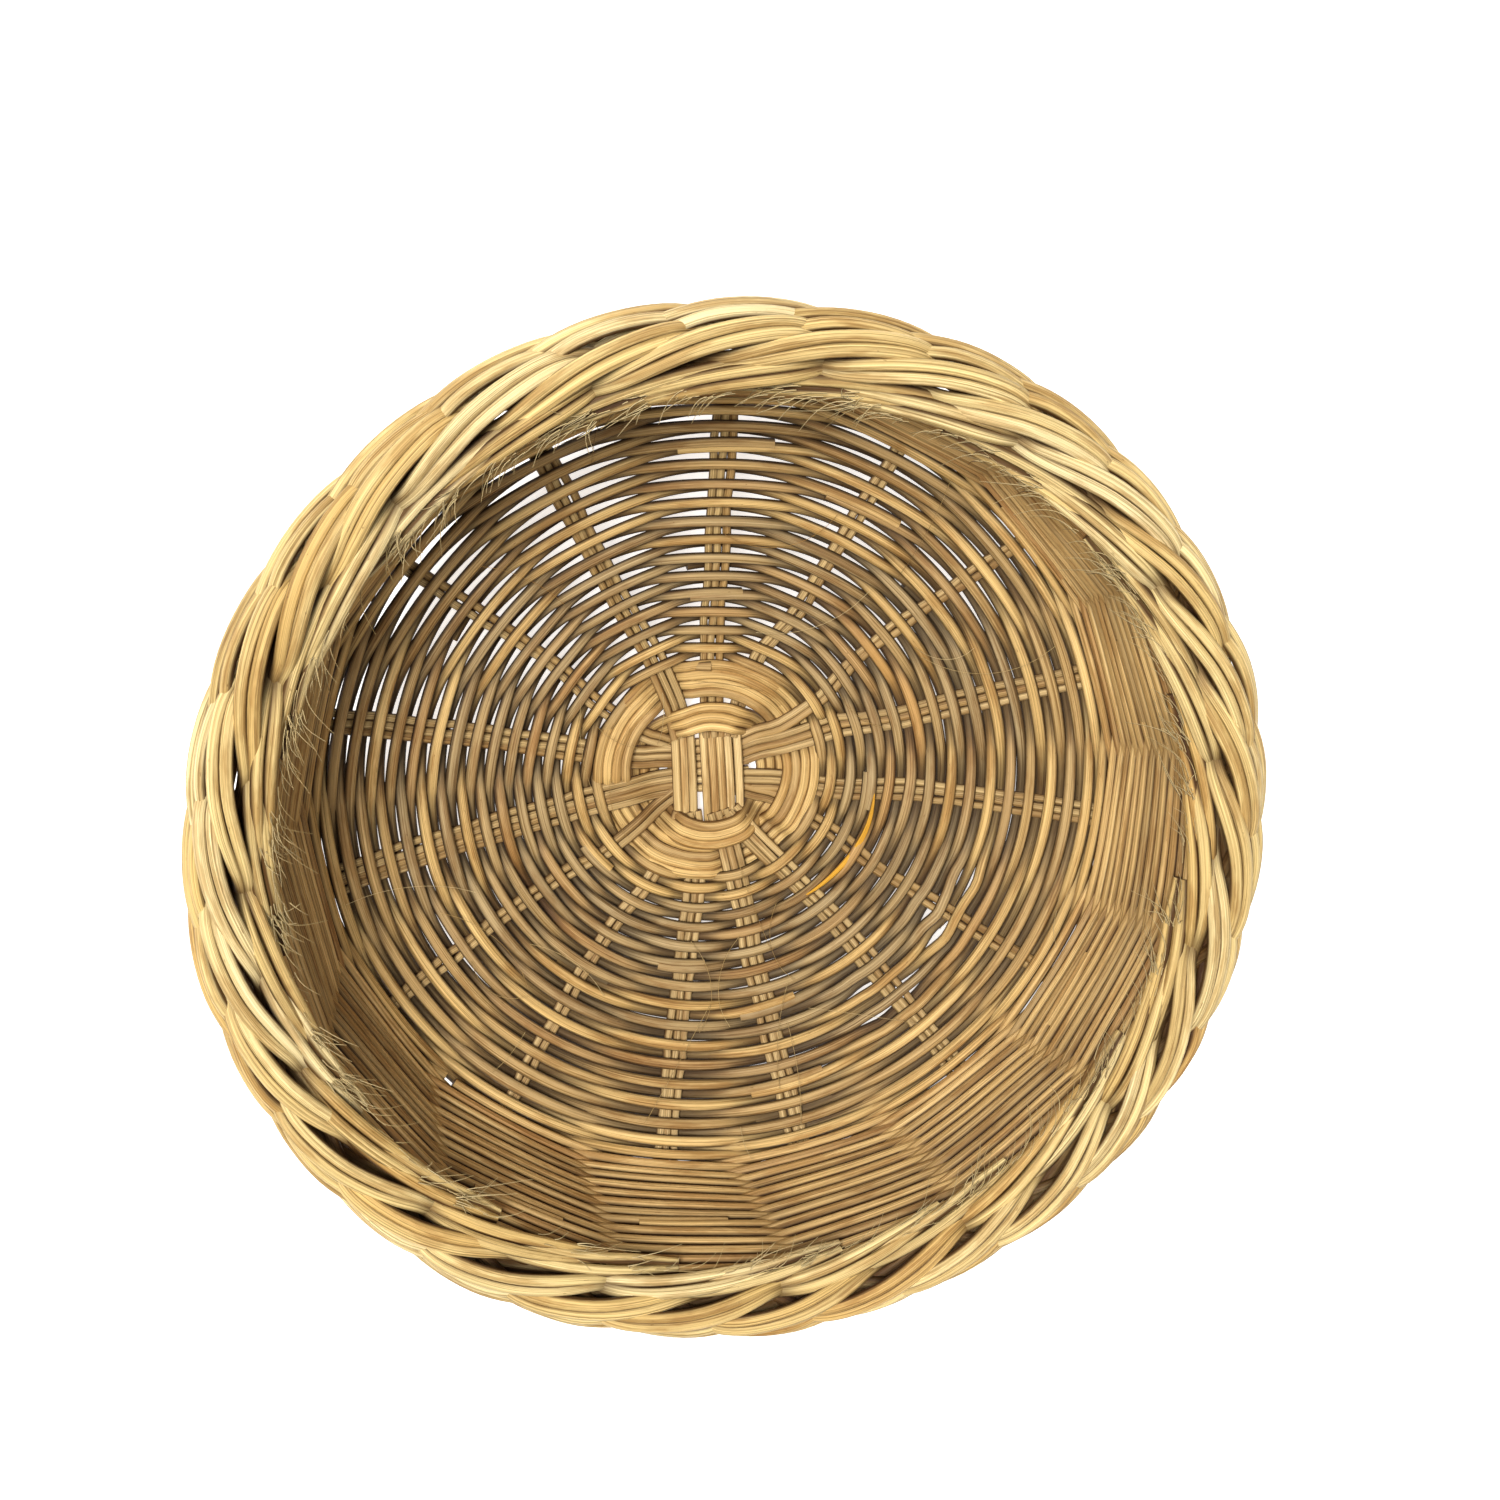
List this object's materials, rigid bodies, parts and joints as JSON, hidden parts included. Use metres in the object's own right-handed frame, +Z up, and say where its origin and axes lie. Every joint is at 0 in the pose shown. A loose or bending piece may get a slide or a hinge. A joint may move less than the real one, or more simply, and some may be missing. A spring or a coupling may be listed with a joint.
{
  "type": "woven wicker basket",
  "caption": "Round open basket of woven round cane, with a dished base, low upright wall and a thick plaited border.",
  "frame": {"origin": "on the floor, under the middle of the base", "axes": "+Z up out of the open top; the first stake points along +Y"},
  "size_m": [0.2852, 0.2852, 0.0996],
  "materials": {
    "slath_cane": "matt natural cane",
    "lashing_cane": "matt natural cane",
    "stake_cane": "matt natural cane",
    "base_cane": "matt natural cane",
    "wall_cane": "matt natural cane",
    "border_cane": "matt natural cane"
  },
  "bodies": {
    "root": {"slath_under_front": "slath_cane", "slath_under_back": "slath_cane", "slath_over_left": "slath_cane", "slath_over_right": "slath_cane", "slath_lashing": "lashing_cane", "stake_01": "stake_cane", "stake_02": "stake_cane", "stake_03": "stake_cane", "stake_04": "stake_cane", "stake_05": "stake_cane", "stake_06": "stake_cane", "stake_07": "stake_cane", "stake_08": "stake_cane", "stake_09": "stake_cane", "stake_10": "stake_cane", "stake_11": "stake_cane", "stake_12": "stake_cane", "stake_13": "stake_cane", "stake_14": "stake_cane", "stake_15": "stake_cane", "base_weave": "base_cane", "wall_weave": "wall_cane", "border_01": "border_cane", "border_02": "border_cane", "border_03": "border_cane", "border_04": "border_cane", "border_05": "border_cane", "border_06": "border_cane", "border_07": "border_cane", "border_08": "border_cane", "border_09": "border_cane", "border_10": "border_cane", "border_11": "border_cane", "border_12": "border_cane", "border_13": "border_cane", "border_14": "border_cane", "border_15": "border_cane"}
  },
  "joints": []
}
